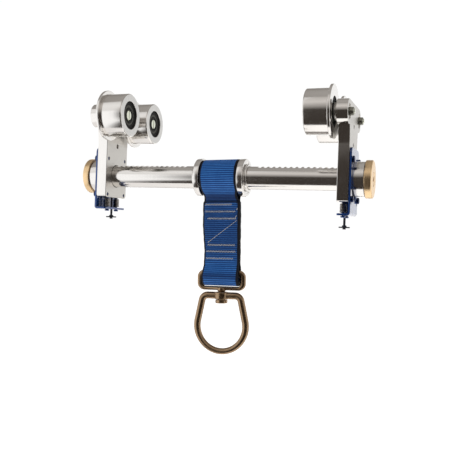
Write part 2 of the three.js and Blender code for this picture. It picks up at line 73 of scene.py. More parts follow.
MM = 0.001
TURN = 2 * math.pi
SLEEVE_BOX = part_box("spool_sleeve")
MIDDLE = (SLEEVE_BOX[0] + SLEEVE_BOX[1]) / 2      # on the bar's axis, at mid-span
JOINTS = {joint["name"]: joint for joint in frame["joints"]}
BODIES = frame["record"]["behaviour"]["bodies"]
BODY_OF = {node: body for body, nodes in BODIES.items() for node in nodes}
SWIVEL_AXIS = Vector(JOINTS["ring_swivel"]["axis"])
ROW = Matrix.Translation(MIDDLE) @ Matrix.Scale(MM, 4)
SIDES = {"right": ROW, "left": ROW @ Matrix.Rotation(math.pi, 4, "Z")}
SLING = ROW @ Matrix.Rotation(math.atan2(SWIVEL_AXIS.x, SWIVEL_AXIS.z), 4, "Y")
ABOUT_Z = Matrix.Rotation(-math.pi / 2, 4, "Y")   # stands a piece turned about X upright
# Turn a flat plate so that its outline is in (y, z), and its thickness along X
ACROSS_X = Matrix(((0, 0, 1, 0), (1, 0, 0, 0), (0, 1, 0, 0), (0, 0, 0, 1)))
# The same for an outline in (x, z), and the thickness along Y
ACROSS_Y = Matrix(((1, 0, 0, 0), (0, 0, -1, 0), (0, 1, 0, 0), (0, 0, 0, 1)))


def span(node, axis):
    """Lowest and highest coordinate of a CAD node along an axis, from the bar's middle."""
    low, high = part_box(node)
    return (low - MIDDLE)[axis] / MM, (high - MIDDLE)[axis] / MM


def half(node, axis=2):
    low, high = span(node, axis)
    return (high - low) / 2


def centre(node, axis):
    low, high = span(node, axis)
    return (high + low) / 2


# Places and sizes, in millimetres, from the frame
GAP = 0.3
BAR_RADIUS = half("bar")
BAR_END = span("bar", 0)[1]
BRACKET_IN, BRACKET_OUT = span("bracket_right", 0)
BRACKET_LOW, BRACKET_TOP = span("bracket_right", 2)
WHEEL_IN, WHEEL_OUT = span("wheel_right_front", 0)
WHEEL_Y = -centre("wheel_right_front", 1)
WHEEL_Z = centre("wheel_right_front", 2)
FLANGE_RADIUS = half("wheel_right_front")
BEARING_RADIUS = half("bearing_right_front")
AXLE_RADIUS = half("axle_right_front")
AXLE_IN, AXLE_OUT = span("axle_right_front", 0)
CAP_IN, CAP_OUT = span("end_cap_right", 0)
CAP_RADIUS = half("end_cap_right")
SCREW_RADIUS = half("cap_screw_right")
SCREW_IN, SCREW_OUT = span("cap_screw_right", 0)
BUSH_IN, BUSH_OUT = span("guide_bush_right", 0)
BUSH_RADIUS = half("guide_bush_right")
LIP_END, PLATE_OUT = span("latch_plate_right", 0)
PLATE_LIP, PLATE_TOP = span("latch_plate_right", 2)
PLATE_HALF = half("latch_plate_right", 1)
GUIDE_SCREW_Y = -centre("guide_screw_right_front_upper", 1)
GUIDE_SCREW_Z = [centre(f"guide_screw_right_front_{place}", 2) for place in ("upper", "lower")]
PIN_X = centre("guide_pin_right_front", 0)
PIN_Y = -centre("guide_pin_right_front", 1)
KNOB_RADIUS = half("plunger_knob_right", 1)
PLUNGER_RISE = span("plunger_knob_left", 2)[0] - span("plunger_knob_right", 2)[0]
FLANGE_FROM, FLANGE_TO = span("spool_flange_right", 0)
SPOOL_RADIUS = half("spool_flange_right")
SLEEVE_RADIUS = half("spool_sleeve")

# Sizes that a box doesn't give
TREAD_RADIUS = 24
WHEEL_FLANGE = 3
STUD_RADIUS = 2.5
CAP_BORE = 4.3
SLOT_RADIUS = 1.9                   # round a guide screw, in the bracket and the latch plate
PLATE_THICKNESS = 2.2
LATCH_LIFT = JOINTS["latch_lift_right"]["range_m"][1] / MM
NOTCH_PITCH = 6.35
NOTCH_DEPTH = 2
NOTCH_COUNT = 17
NOTCH_BRINK = 0.78                  # on a scale from 0 in the middle of a notch to 1 on a crest
NOTCH_FLANK = 0.42                  # how much of that scale a notch's flank takes up
FILLET_SHARE = 0.48                 # of an edge, that a fillet may take up
LOBE_RADIUS = BRACKET_TOP - WHEEL_Z
BRACKET_HALF = 25
STRAP_HALF = 21.1
LOOP_RADIUS = 20.3
STRAP_BACK = 4                      # from the middle of the strap to its face
STRAP_FOOT = -120.6
STRAP_NECK = -26.9                  # top edge of the sewn tab
FOOT_RADIUS = 9.3
PLY = 2.2
THIN_PLY = 1.7
INSIDE = 0.95                       # from the middle of the strap to the middle of a ply inside it
RIB_PITCH = 2.3
RIB_HEIGHT = 0.32
THREAD_RADIUS = 0.21
STITCH_PITCH = 1.9
STITCH_OUT = STRAP_BACK + 0.02      # from the middle of the strap to a stitch
# Zigzag seams: height, left end, right end, half the width of the zigzag
SEAMS = [(-30.2, -18.7, 12.4, 1.2), (-38, -18.7, 16.4, 0.95), (-45.8, -16.2, 17.6, 0.95),
         (-75.2, -15.4, 16.6, 0.95), (-82.4, -17.2, 17.2, 0.95), (-90.1, -17.4, 14.6, 0.95)]
# Straight seams on the strap's face, each from (x, z) to (x, z)
STRAIGHT_SEAMS = [((-15.4, -72.6), (18.6, -47.6)), ((18.4, -36.6), (18.9, -33.4)),
                  ((16.2, -45), (18.8, -41.8))]
EYE_ROD_Z = -106
EYE_HALF = 28.1
EYE_LOW, EYE_TOP = -125.5, -103
EYE_ROD = 6
EYE_FOOT = 4.4
COLLAR_TOP, COLLAR_LOW = -127.3, -135.5
COLLAR_RADIUS = 7.7
STEM_RADIUS = 3.9
RING_ROD = 3.95
BOW_RADIUS = 28.4
BOW_Z = -165
SIDE_SLOPE = math.radians(12.2)


# ---- Materials ----

def node_tree(name):
    material = bpy.data.materials.new(name)
    material.use_nodes = True
    tree = material.node_tree
    return material, tree, tree.nodes["Principled BSDF"]


def feed(tree, node, inputs):
    """Gives a node its inputs: a socket is linked, and anything else is the input's value."""
    for key, value in dict(inputs).items():
        if isinstance(value, bpy.types.NodeSocket):
            tree.links.new(value, node.inputs[key])
        else:
            node.inputs[key].default_value = value


def add(tree, kind, inputs=(), **settings):
    node = tree.nodes.new(kind)
    for key, value in settings.items():
        setattr(node, key, value)
    feed(tree, node, inputs)
    return node


def maths(tree, operation, first, second=0.0):
    return add(tree, "ShaderNodeMath", {0: first, 1: second}, operation=operation).outputs[0]


def attribute(tree, name):
    return add(tree, "ShaderNodeAttribute", attribute_name=name).outputs["Fac"]


def noise(tree, scale, stretch=(1, 1, 1), detail=3.0):
    """Noise in the piece's own coordinates, in metres; stretch is the frequency along each axis."""
    place = add(tree, "ShaderNodeTexCoord").outputs["Object"]
    mapped = add(tree, "ShaderNodeMapping", {"Vector": place, "Scale": stretch})
    texture = add(tree, "ShaderNodeTexNoise",
                  {"Vector": mapped.outputs["Vector"], "Scale": scale, "Detail": detail})
    return texture.outputs["Fac"]


def between(tree, fac, low, high, start=0.3, end=0.7):
    node = add(tree, "ShaderNodeMapRange", {"Value": fac, "From Min": start, "From Max": end,
                                            "To Min": low, "To Max": high})
    return node.outputs["Result"]


def mixed(tree, fac, low, high):
    """The colour between low and high, each a colour or a socket."""
    inputs = {0: fac}
    for index, value in ((6, low), (7, high)):
        inputs[index] = value if isinstance(value, bpy.types.NodeSocket) else (*value, 1)
    return add(tree, "ShaderNodeMix", inputs, data_type="RGBA").outputs[2]


def bump(tree, height, strength, distance):
    return add(tree, "ShaderNodeBump", {"Height": height, "Strength": strength,
                                        "Distance": distance}).outputs["Normal"]


def metal(name, colour, roughness, grain, grain_scale, depth, shade):
    """Bare or plated metal: a fine grain across its stretched axis, and a slow change of tone."""
    material, tree, shader = node_tree(name)
    lines = noise(tree, grain_scale, grain, 4.0)
    cloud = noise(tree, 38, detail=5.0)
    darker = tuple(shade * channel for channel in colour)
    feed(tree, shader, {
        "Metallic": 1.0,
        "Base Color": mixed(tree, between(tree, cloud, 0, 1), darker, colour),
        "Roughness": maths(tree, "MULTIPLY",
                           between(tree, lines, 0.8 * roughness, 1.2 * roughness),
                           between(tree, cloud, 0.9, 1.15)),
        "Normal": bump(tree, lines, 0.35, depth)})
    return material


def coated_blue():
    material, tree, shader = node_tree("latch_blue_coating")
    cloud = noise(tree, 55, detail=4.0)
    peel = noise(tree, 1400, detail=2.0)
    dark, pale = (0.004, 0.028, 0.13), (0.006, 0.045, 0.19)
    feed(tree, shader, {
        "Metallic": 0.35, "Coat Weight": 0.9, "Coat Roughness": 0.08,
        "Base Color": mixed(tree, between(tree, cloud, 0, 1), dark, pale),
        "Roughness": between(tree, peel, 0.22, 0.34),
        "Normal": bump(tree, peel, 0.2, 0.00004)})
    return material


def rubber(name, dark, pale):
    material, tree, shader = node_tree(name)
    cloud = noise(tree, 700, detail=4.0)
    feed(tree, shader, {
        "Base Color": mixed(tree, between(tree, cloud, 0, 1), dark, pale),
        "Specular IOR Level": 0.12,
        "Roughness": between(tree, cloud, 0.5, 0.7),
        "Normal": bump(tree, cloud, 0.3, 0.00005)})
    return material


def waves(tree, operation, name, length):
    """A sine or cosine of a distance that the mesh carries, in waves of a length in millimetres."""
    return maths(tree, operation, maths(tree, "MULTIPLY", attribute(tree, name), TURN / length))


def webbing():
    """Ribbed webbing; the ply's mesh carries distances along, across and from its edge."""
    material, tree, shader = node_tree("ribbed_webbing")
    # dark: the colour of painted shade, in the valleys between ribs and where the ply's shade is
    # high
    dark = (0.001, 0.009, 0.055)
    rib = between(tree, waves(tree, "COSINE", "along", RIB_PITCH), 0, 1, -0.6, 1)
    crest = maths(tree, "POWER", rib, 3)
    weave = maths(tree, "MULTIPLY", waves(tree, "SINE", "across", 0.62),
                  waves(tree, "SINE", "along", 0.57))
    fibres = noise(tree, 900)
    cloud = noise(tree, 70, (1, 1, 1.6), 4.0)
    # Painted shade in the valleys between ribs, and a narrow painted highlight on each rib's crest
    blue = mixed(tree, rib, dark, (0.011, 0.105, 0.42))
    blue = mixed(tree, maths(tree, "MULTIPLY", crest, 0.7), blue, (0.085, 0.29, 0.76))
    blue = mixed(tree, between(tree, cloud, 0, 0.45), blue, (0.002, 0.03, 0.14))
    blue = mixed(tree, between(tree, weave, 0, 0.3, -1, 1), blue, (0.024, 0.19, 0.54))
    blue = mixed(tree, between(tree, fibres, 0, 0.35), blue, (0.002, 0.025, 0.12))
    # Painted shade from the ply's shade: darkest at the neck, down the body and where the strap
    # turns under
    blue = mixed(tree, attribute(tree, "shade"), blue, dark)
    # Black at the selvedges and near a ply's ends: the heat-cut end, partly painted shadow at the
    # tab's top edge
    edge = between(tree, attribute(tree, "edge"), 0, 1, 1.9, 2.4)
    height = maths(tree, "ADD", maths(tree, "MULTIPLY", weave, 0.5), fibres)
    feed(tree, shader, {
        "Sheen Weight": 0.05, "Sheen Roughness": 0.4, "Specular IOR Level": 0.2,
        "Base Color": mixed(tree, edge, (0.006, 0.007, 0.012), blue),
        "Roughness": between(tree, fibres, 0.62, 0.85),
        "Normal": bump(tree, height, 0.5, 0.0001)})
    return material


def thread():
    material, tree, shader = node_tree("stitch_thread")
    twist = noise(tree, 1500, (1, 1, 2.5), 3.0)
    dark, pale = (0.26, 0.26, 0.28), (0.58, 0.56, 0.53)
    feed(tree, shader, {
        "Sheen Weight": 0.3,
        "Base Color": mixed(tree, between(tree, twist, 0, 1), dark, pale),
        "Roughness": between(tree, twist, 0.6, 0.85),
        "Normal": bump(tree, twist, 0.5, 0.0001)})
    return material


TURNED = (60, 1, 1)                 # rings about the X axis
MILLED = (1, 1, 14)
EVEN = (1, 1, 1)
POLISHED = metal("polished_steel", (0.8, 0.78, 0.755), 0.15, TURNED, 60, 0.000003, 0.96)
END_FACE = metal("faced_steel", (0.62, 0.61, 0.59), 0.34, EVEN, 500, 0.00001, 0.94)
SATIN = metal("satin_milled_metal", (0.56, 0.54, 0.505), 0.34, MILLED, 260, 0.00001, 0.95)
EDGE = metal("polished_plate_edge", (0.8, 0.78, 0.755), 0.1, EVEN, 60, 0.000006, 0.95)
GOLD = metal("yellow_passivated", (0.88, 0.64, 0.37), 0.3, TURNED, 60, 0.000004, 0.9)
BRONZE = metal("dark_bronze_plating", (0.34, 0.235, 0.145), 0.24, EVEN, 320, 0.000006, 0.85)
ZINC = metal("pale_zinc", (0.72, 0.74, 0.62), 0.22, EVEN, 500, 0.00001, 0.92)
NUT_PLATE = metal("dull_grey_plating", (0.36, 0.36, 0.31), 0.32, EVEN, 500, 0.00001, 0.85)
BLACKED = metal("black_oxide_steel", (0.06, 0.062, 0.075), 0.3, EVEN, 700, 0.00001, 0.7)
BLUED = metal("blued_steel", (0.018, 0.03, 0.095), 0.24, EVEN, 700, 0.00001, 0.7)
SPRING_WIRE = metal("spring_wire", (0.34, 0.32, 0.3), 0.2, EVEN, 700, 0.00001, 0.8)
BLUE = coated_blue()
SHIELD = rubber("bearing_shield", (0.004, 0.004, 0.0035), (0.012, 0.0115, 0.0105))
# The groove's paler grey is a painted reflection streak; the shield itself is the same black
PAINTED_GROOVE_REFLECTION = rubber("bearing_groove_painted_reflection", (0.035, 0.035, 0.03), (0.075, 0.073, 0.062))
WEBBING = webbing()
THREAD = thread()


# ---- Shapes ----

def arc(across, up, radius, start, end, steps):
    """Points on an arc, angles in degrees."""
    angles = [math.radians(start + (end - start) * k / steps) for k in range(steps + 1)]
    return [(across + radius * math.cos(a), up + radius * math.sin(a)) for a in angles]


def circle(across, up, radius, steps):
    return arc(across, up, radius, 0, 360, steps)[:-1]


def rectangle(half_width, low, top):
    return [(-half_width, low), (half_width, low), (half_width, top), (-half_width, top)]


def filleted(points, radius, closed=True, steps=3):
    """The outline with its corners rounded; a point may bring its own radius as a third number."""
    rounded = []
    for i, point in enumerate(points):
        here = Vector(point[:2])
        r = point[2] if len(point) > 2 else radius
        if r == 0 or not closed and i in (0, len(points) - 1):
            rounded.append(tuple(here))
            continue
        before = Vector(points[i - 1][:2]) - here
        after = Vector(points[(i + 1) % len(points)][:2]) - here
        opening = before.angle(after) / 2
        room = FILLET_SHARE * min(before.length, after.length)
        reach = min(r / math.tan(opening), room)
        r = reach * math.tan(opening)
        inward = (before.normalized() + after.normalized()).normalized()
        middle = here + inward * (r / math.sin(opening))
        first = here + before.normalized() * reach - middle
        last = here + after.normalized() * reach - middle
        start = math.atan2(first.y, first.x)
        sweep = (math.atan2(last.y, last.x) - start + math.pi) % TURN - math.pi
        angles = [start + sweep * k / steps for k in range(steps + 1)]
        rounded += [(middle.x + r * math.cos(a), middle.y + r * math.sin(a)) for a in angles]
    return rounded


def welded(mesh, distance=1e-4):
    """Merges vertices that are nearer than the distance, and turns every face outward."""
    bm = bmesh.new()
    bm.from_mesh(mesh)
    if distance:
        bmesh.ops.remove_doubles(bm, verts=bm.verts, dist=distance)
    bmesh.ops.recalc_face_normals(bm, faces=bm.faces)
    bm.to_mesh(mesh)
    bm.free()
    return mesh


def mesh_of(vertices, faces):
    mesh = bpy.data.meshes.new("shape")
    mesh.from_pydata(vertices, [], faces)
    return welded(mesh)


def turned(profile, closed, segments):
    """A piece turned about X: profile is a list of (radius, place along X)."""
    vertices, rings, faces = [], [], []
    for radius, along in profile:
        first = len(vertices)
        if radius < 1e-6:
            vertices.append((along, 0, 0))
            rings.append([first] * segments)
            continue
        rings.append(list(range(first, first + segments)))
        vertices += [(along, y, z) for y, z in circle(0, 0, radius, segments)]
    pairs = list(zip(rings, rings[1:])) + ([(rings[-1], rings[0])] if closed else [])
    for a, b in pairs:
        for k in range(segments):
            n = (k + 1) % segments
            face = list(dict.fromkeys([a[k], a[n], b[n], b[k]]))
            if len(face) > 2:
                faces.append(face)
    return mesh_of(vertices, faces)


def lathe(points, radius, segments, closed=True, steps=3):
    """A turned piece with its corners rounded; an open profile starts and ends on the axis."""
    return turned(filleted(points, radius, closed, steps), closed, segments)


def rod(radius, start, end, segments):
    """A plain cylinder along X."""
    return turned([(0, start), (radius, start), (radius, end), (0, end)], False, segments)


def linked(name, data):
    obj = bpy.data.objects.new(name, data)
    bpy.context.scene.collection.objects.link(obj)
    return obj


def taken(obj, *others):
    """The object's mesh with its modifiers applied; the objects are then removed."""
    final = obj.evaluated_get(bpy.context.evaluated_depsgraph_get())
    mesh = bpy.data.meshes.new_from_object(final)
    for used in (obj, *others):
        bpy.data.objects.remove(used)
    return mesh


def combined(mesh, tool, operation="DIFFERENCE"):
    body, cutter = linked("working", mesh), linked("working", tool)
    modifier = body.modifiers.new("combine", "BOOLEAN")
    modifier.operation = operation
    modifier.solver = "EXACT"
    modifier.object = cutter
    return taken(body, cutter)


def plate(loops, thickness, edge, steps=1):
    """A flat plate with bevelled edges from closed outlines, the first one round the others."""
    curve = bpy.data.curves.new("outline", "CURVE")
    curve.dimensions = "2D"
    curve.fill_mode = "BOTH"
    curve.extrude = thickness / 2 - edge
    curve.bevel_depth = edge
    curve.bevel_resolution = steps
    curve.offset = -edge
    for loop in loops:
        spline = curve.splines.new("POLY")
        spline.points.add(len(loop) - 1)
        for point, (across, up) in zip(spline.points, loop):
            point.co = (across, up, 0, 1)
        spline.use_cyclic_u = True
    return welded(taken(linked("outline", curve)), 1e-3)


def skin(rings, size):
    """Faces of a solid through rings of vertices, each of the same size, with its two ends."""
    faces = []
    for first in range(0, (rings - 1) * size, size):
        for k in range(size):
            n = (k + 1) % size
            faces.append([first + k, first + n, first + size + n, first + size + k])
    return faces + [list(range(size)), list(range((rings - 1) * size, rings * size))]


def swept(path, radius, sides):
    """A round bar along path; radius is a number or one for each point."""
    path = [Vector(point) for point in path]
    count = len(path)
    radii = radius if isinstance(radius, list) else [radius] * count
    tangents = [(path[min(i + 1, count - 1)] - path[max(i - 1, 0)]).normalized()
                for i in range(count)]
    normal = tangents[0].orthogonal().normalized()
    vertices = []
    for point, tangent, r in zip(path, tangents, radii):
        normal = (normal - tangent * normal.dot(tangent)).normalized()
        other = tangent.cross(normal)
        vertices += [point + across * normal + up * other for across, up in circle(0, 0, r, sides)]
    return mesh_of(vertices, skin(count, sides))


def hex_bar(radius, start, end):
    """A hexagonal bar along X."""
    vertices = [(x, y, z) for x in (start, end) for y, z in circle(0, 0, radius, 6)]
    return mesh_of(vertices, skin(2, 6))


def box_mesh(x, y, z):
    signs = (-1, 1)
    corners = [(sx * x / 2, sy * y / 2, sz * z / 2) for sx in signs for sy in signs for sz in signs]
    faces = [[0, 1, 3, 2], [4, 6, 7, 5], [0, 4, 5, 1], [2, 3, 7, 6], [0, 2, 6, 4], [1, 5, 7, 3]]
    return mesh_of(corners, faces)


def joined(meshes):
    bm = bmesh.new()
    for mesh in meshes:
        bm.from_mesh(mesh)
    whole = bpy.data.meshes.new("shape")
    bm.to_mesh(whole)
    bm.free()
    return whole


def moved(mesh, matrix):
    copy = mesh.copy()
    copy.transform(matrix)
    return copy


def at(x=0.0, y=0.0, z=0.0):
    return Matrix.Translation((x, y, z))


def paint(mesh, index, test):
    """Gives faces that pass the test another material."""
    for face in mesh.polygons:
        if test(face):
            face.material_index = index
    return mesh


def piece(name, mesh, place, node, materials, sharp=32, weighted=False):
    """Puts a shape in the row frame in the place of a CAD node, riding that node's body."""
    mesh = moved(mesh, place)
    mesh.name = name
    painted = [face.material_index for face in mesh.polygons]
    mesh.materials.clear()
    for material in materials if isinstance(materials, list) else [materials]:
        mesh.materials.append(material)
    mesh.polygons.foreach_set("material_index", painted)
    mesh.shade_smooth()
    mesh.set_sharp_from_angle(angle=math.radians(sharp))
    obj = linked(name, mesh)
    if weighted:
        modifier = obj.modifiers.new("flat_faces", "WEIGHTED_NORMAL")
        modifier.keep_sharp = True
    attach(obj, BODY_OF[node])
    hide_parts(node)
    return obj


# ---- Bar, caps and spool ----

def notched_bar():
    """The bar, with the row of rounded notches cut across its top on each half."""
    segments = 96
    chamfer = 0.5
    margin = 0.01
    steps = 12 * NOTCH_COUNT
    r = BAR_RADIUS
    plate_middle = PLATE_OUT - PLATE_THICKNESS / 2
    first = plate_middle - (NOTCH_COUNT - 0.5) * NOTCH_PITCH
    last = plate_middle + 0.5 * NOTCH_PITCH
    rings = [(first - margin, r, r)]       # place along X, radius, height of the top
    for k in range(steps + 1):
        along = first + (last - first) * k / steps
        crest = 2 * abs(((along - first) / NOTCH_PITCH) % 1 - 0.5)     # 1 on a crest, 0 in a notch
        fall = min(max((NOTCH_BRINK - crest) / NOTCH_FLANK, 0), 1)
        rings.append((along, r, r - NOTCH_DEPTH * fall * fall * (3 - 2 * fall)))
    rings += [(last + margin, r, r), (BAR_END - chamfer, r, r), (BAR_END, r - chamfer, r)]
    rings = [(-along, radius, top) for along, radius, top in reversed(rings)] + rings
    vertices = [(along, y, min(z, top)) for along, radius, top in rings
                for y, z in circle(0, 0, radius, segments)]
    body = mesh_of(vertices, skin(len(rings), segments))
    for sign in (-1, 1):
        body = combined(body, rod(CAP_BORE, sign * (BAR_END - 20), sign * (BAR_END + 1), 32))
    return body


def end_cap():
    r = CAP_RADIUS
    recess = 7.5
    seat = CAP_OUT - 3.6
    return lathe([(CAP_BORE, CAP_IN), (r, CAP_IN, 0.7), (r, CAP_OUT, 1.7), (recess, CAP_OUT, 0.5),
                  (recess, seat, 0.2), (CAP_BORE, seat, 0.2)], 0.3, 112, steps=5)


def cap_screw():
    base = SCREW_OUT - 3
    shank = 4
    body = lathe([(0, SCREW_IN), (shank, SCREW_IN), (shank, base), (SCREW_RADIUS, base),
                  (SCREW_RADIUS, SCREW_OUT, 0.6), (0, SCREW_OUT)], 0.25, 64, closed=False)
    return combined(body, hex_bar(3, SCREW_OUT - 2.1, SCREW_OUT + 1))


def spool_flange():
    bore = SLEEVE_RADIUS + GAP
    face = FLANGE_TO - 0.5
    return lathe([(bore, FLANGE_FROM), (SPOOL_RADIUS, FLANGE_FROM, 0.5),
                  (SPOOL_RADIUS, FLANGE_TO, 1.1), (17.4, FLANGE_TO), (16.9, face), (bore, face)],
                 0.3, 112, steps=4)


def retaining_collar():
    start, end = span("retaining_collar_right", 0)
    r = half("retaining_collar_right")
    bore = BAR_RADIUS + GAP
    return lathe([(bore, start), (r, start), (r, end, 0.6), (bore, end)], 0.3, 96)


def spool_sleeve():
    end = half("spool_sleeve", 0)
    bore = BAR_RADIUS + GAP
    return lathe([(bore, -end), (SLEEVE_RADIUS, -end), (SLEEVE_RADIUS, end), (bore, end)], 0.3, 80)


def bar_and_spool():
    piece("bar_finished", notched_bar(), ROW, "bar", POLISHED)
    piece("spool_sleeve_finished", spool_sleeve(), ROW, "spool_sleeve", POLISHED)
    shapes = [("end_cap", end_cap(), "gold_cap", GOLD),
              ("cap_screw", cap_screw(), "gold_cap", GOLD),
              ("retaining_collar", retaining_collar(), "polished_steel", POLISHED),
              ("spool_flange", spool_flange(), "polished_steel", POLISHED)]
    for side, place in SIDES.items():
        for name, mesh, slot, material in shapes:
            piece(f"{name}_{side}_finished", mesh, place, f"{name}_{side}", material)


# ---- Sling ----

def swell(z, middle, width, power=2):
    """1 at the middle, and less away from it; a greater power gives a flatter top."""
    return math.exp(-((z - middle) / width) ** power)


def strap_edges(z):
    """Left and right edge of the strap at a height: drawn in under the spool, a little waisted."""
    pinch = 1.9 * swell(z, -21, 5)
    waist = 1.2 * swell(z, -85, 15)
    fullness = 0.8 * swell(z, -44, 20, 4)
    return -STRAP_HALF - fullness + pinch + waist, STRAP_HALF - pinch


def painted_strap_shade(z):
    """Painted shade on the webbing at a height: most at the neck and where it turns under, least
    over the spool.
    """
    neck = 0.75 * swell(z, -22.5, 4.5, 4)
    body = 0.5 * swell(z, -60, 33, 6)
    under = 0.6 * swell(z, -109.5, 3)
    return max(neck, body, under)


def stepped(points, step):
    """The same line with points a step apart."""
    line = [points[0]]
    for end in points[1:]:
        start = Vector(line[-1])
        count = max(1, round((Vector(end) - start).length / step))
        line += [tuple(start.lerp(Vector(end), k / count)) for k in range(1, count + 1)]
    return line


def ply(path, thickness, rib):
    """A webbing ply along path, points (y, z) of its middle, with ribs across and round edges."""
    columns = 12
    face = [-0.93 + 1.86 * k / (columns - 1) for k in range(columns)]
    rounding = [(0.985, 0.72), (1, 0), (0.985, -0.72)]
    section = [(u, 1) for u in face] + rounding
    section += [(u, -1) for u in reversed(face)] + [(-u, -v) for u, v in rounding]
    vertices, along, across, edge, shade = [], [], [], [], []
    distance = 0
    total = sum((Vector(b) - Vector(a)).length for a, b in zip(path, path[1:]))
    for i, (y, z) in enumerate(path):
        before = Vector(path[max(i - 1, 0)])
        after = Vector(path[min(i + 1, len(path) - 1)])
        direction = (after - before).normalized()
        distance += (Vector((y, z)) - Vector(path[i - 1])).length if i else 0
        left, right = strap_edges(z)
        half_width = (right - left) / 2
        ripple = 0.12 * math.sin(distance / 3.1) + 0.08 * math.sin(distance / 1.3)
        raised = rib * (0.5 + 0.5 * math.cos(TURN * distance / RIB_PITCH)) - rib
        for u, v in section:
            x = (left + right) / 2 + u * half_width + u * ripple
            ribbed = abs(v) == 1 and abs(u) < 0.9
            out = v * (thickness / 2 + (raised if ribbed else 0))
            vertices.append((x, y - direction.y * out, z + direction.x * out))
            along.append(distance)
            across.append(x)
            # Black along both selvedges, which the webbing has; black near each end of a ply for
            # its dark heat-cut end, partly painted shadow at the sewn tab's top edge
            edge.append(min(half_width * (1 - abs(u)), 1.2 + distance, 1.2 + total - distance))
            # the painted shade at this height, carried on the mesh as its shade
            shade.append(painted_strap_shade(z))
    mesh = bpy.data.meshes.new("ply")
    mesh.from_pydata(vertices, [], skin(len(path), len(section)))
    for name, values in (("along", along), ("across", across), ("edge", edge), ("shade", shade)):
        mesh.attributes.new(name, "FLOAT", "POINT").data.foreach_set("value", values)
    return welded(mesh, 0), distance


def foot_path(depth, top=None):
    """Round the foot of the strap, and with a top also down its front and up its back."""
    foot_z = STRAP_FOOT + FOOT_RADIUS
    line = arc(0, foot_z, FOOT_RADIUS - depth, 156, 384, 60)
    if top is not None:
        flare = foot_z + 14
        out = STRAP_BACK - depth
        line = [(-out, top), (-out, flare), *line, (out, flare), (out, top)]
    return stepped(line, 0.38)


def loop_path(depth, low=None):
    """Over the spool, and with a low end also down inside the strap on both sides."""
    tangent = 42
    over = arc(0, 0, LOOP_RADIUS - depth, -tangent, 180 + tangent, 150)
    if low is None:
        return over
    neck = [(INSIDE, low), (INSIDE, STRAP_NECK - 3), (1.25, STRAP_NECK - 1),
            (2.6, STRAP_NECK + 1.4)]
    return stepped(neck + over + [(-y, z) for y, z in reversed(neck)], 0.5)


def eye_path():
    """The inner ply round the rod of the swivel eye."""
    top = -90
    radius = EYE_ROD / 2 + 0.45 + PLY / 2
    bottom = arc(0, EYE_ROD_Z, radius, 145, 395, 40)
    return stepped([(-INSIDE, top)] + bottom + [(INSIDE, top)], 0.8)


def stitch_row(z, left, right, height, side):
    """A zigzag seam across one face of the strap."""
    count = round((right - left) / STITCH_PITCH) * 2
    corners = [(left + (right - left) * k / count, side * STITCH_OUT,
                z + (height if k % 2 else -height)) for k in range(count + 1)]
    path = []
    for start, end in zip(corners, corners[1:]):
        for t, rise in ((0.08, -0.1), (0.5, 0.14), (0.92, -0.1)):
            point = Vector(start).lerp(Vector(end), t)
            point.y += side * rise
            path.append(point)
    return swept(path, THREAD_RADIUS, 6)


def running_stitch(start, end, side):
    """A line of separate stitches on one face of the strap."""
    length, gap = 2.5, 0.5
    share = length / (length + gap)
    start, end = Vector(start), Vector(end)
    count = max(1, round((end - start).length / (length + gap)))
    stitches = []
    for k in range(count):
        a = start.lerp(end, k / count)
        b = start.lerp(end, (k + share) / count)
        path = []
        for t, rise in ((0, -0.35), (0.12, 0.02), (0.5, 0.16), (0.88, 0.02), (1, -0.35)):
            point = a.lerp(b, t)
            path.append(Vector((point.x, side * (STITCH_OUT + rise), point.y)))
        stitches.append(swept(path, [0.2, 0.26, 0.28, 0.26, 0.2], 6))
    return stitches


def strap():
    plies = [
        ("strap_outer_ply", foot_path(PLY / 2, STRAP_NECK), PLY, RIB_HEIGHT),
        ("strap_loop_outer_ply", loop_path(PLY / 2, -97), THIN_PLY, 0.14),
        ("strap_loop_inner_ply", loop_path(1.5 * PLY + 0.15), PLY, 0.1),
        ("strap_eye_ply", eye_path(), THIN_PLY, 0.1),
        ("strap_foot_filler_ply", foot_path(1.5 * PLY + 0.1), PLY, 0.1),
    ]
    for name, path, thickness, rib in plies:
        mesh, length = ply(path, thickness, rib)
        obj = piece(name, mesh, SLING, "strap", WEBBING, sharp=75)
    seams = []
    for side in (-1, 1):
        seams += [stitch_row(*seam, side) for seam in SEAMS]
        for start, end in STRAIGHT_SEAMS:
            seams += running_stitch(start, end, side)
    piece("strap_stitching", joined(seams), SLING, "strap", THREAD, sharp=60)


def swivel_eye():
    outer = filleted(rectangle(EYE_HALF, EYE_LOW, EYE_TOP), 8, steps=10)
    inner = filleted(rectangle(EYE_HALF - EYE_ROD, EYE_LOW + EYE_FOOT, EYE_TOP - EYE_ROD),
                     2.5, steps=6)
    loop = moved(plate([outer, inner], EYE_ROD, 2.05, 4), ACROSS_Y)
    top = EYE_LOW + EYE_FOOT - 0.6
    low = COLLAR_LOW - EYE_FOOT
    stem = lathe([(0, top), (4.4, top, 1.2), (4.9, EYE_LOW, 1.5),
                  (STEM_RADIUS, COLLAR_TOP + GAP, 0.2), (STEM_RADIUS, low, 0.5), (0, low)],
                 0.3, 48, closed=False, steps=4)
    return combined(loop, moved(stem, ABOUT_Z), "UNION")


